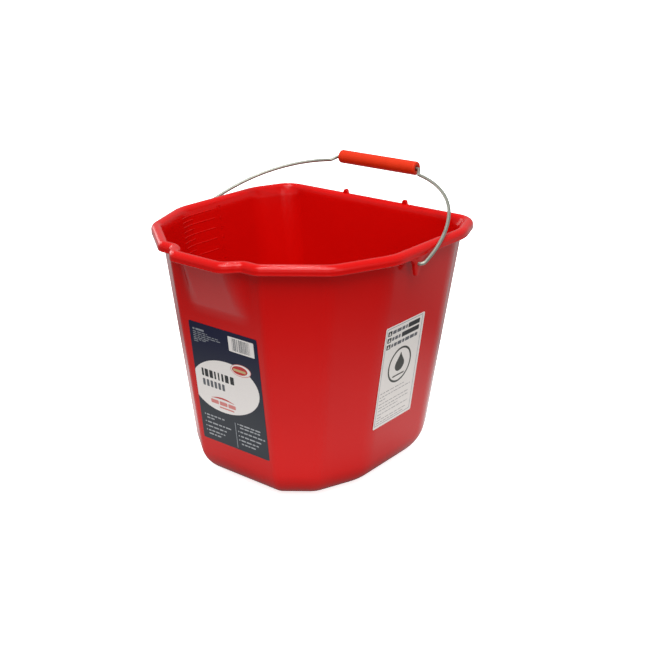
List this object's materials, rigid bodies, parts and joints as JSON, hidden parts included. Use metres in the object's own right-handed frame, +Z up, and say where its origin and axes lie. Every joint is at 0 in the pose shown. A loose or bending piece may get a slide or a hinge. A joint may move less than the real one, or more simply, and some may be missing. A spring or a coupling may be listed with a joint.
{
  "type": "wash bucket",
  "caption": "Moulded plastic wash bucket with a pouring spout, rolled lip, under-lip ears, a swinging wire bail and a free-turning tubular grip.",
  "frame": {"origin": "middle of the flat underside that the bucket stands on, on the plane of left-right symmetry", "axes": "+Z up, -Y towards the pouring spout and the front label, +X towards the side with the care label"},
  "size_m": [0.3342, 0.3254, 0.3409],
  "materials": {
    "red_polypropylene": "satin moulded",
    "zinc_wire": "drawn and zinc plated",
    "orange_polyethylene": "satin moulded",
    "navy_film": "printed gloss label",
    "white_film": "printed gloss label"
  },
  "bodies": {
    "bucket": {"bucket": "red_polypropylene", "front_label": "navy_film", "side_label": "white_film"},
    "bail": {"bail_wire": "zinc_wire"},
    "grip": {"grip": "orange_polyethylene"}
  },
  "joints": [
    {"name": "bail_swing", "type": "hinge", "parent": "bucket", "child": "bail", "pos_m": [0, -0.005, 0.2727], "axis": [1, 0, 0], "range_deg": [0, 148]},
    {"name": "grip_turn", "type": "hinge", "parent": "bail", "child": "grip", "pos_m": [0, 0.14222, 0.33275], "axis": [1, 0, 0], "continuous": true}
  ]
}
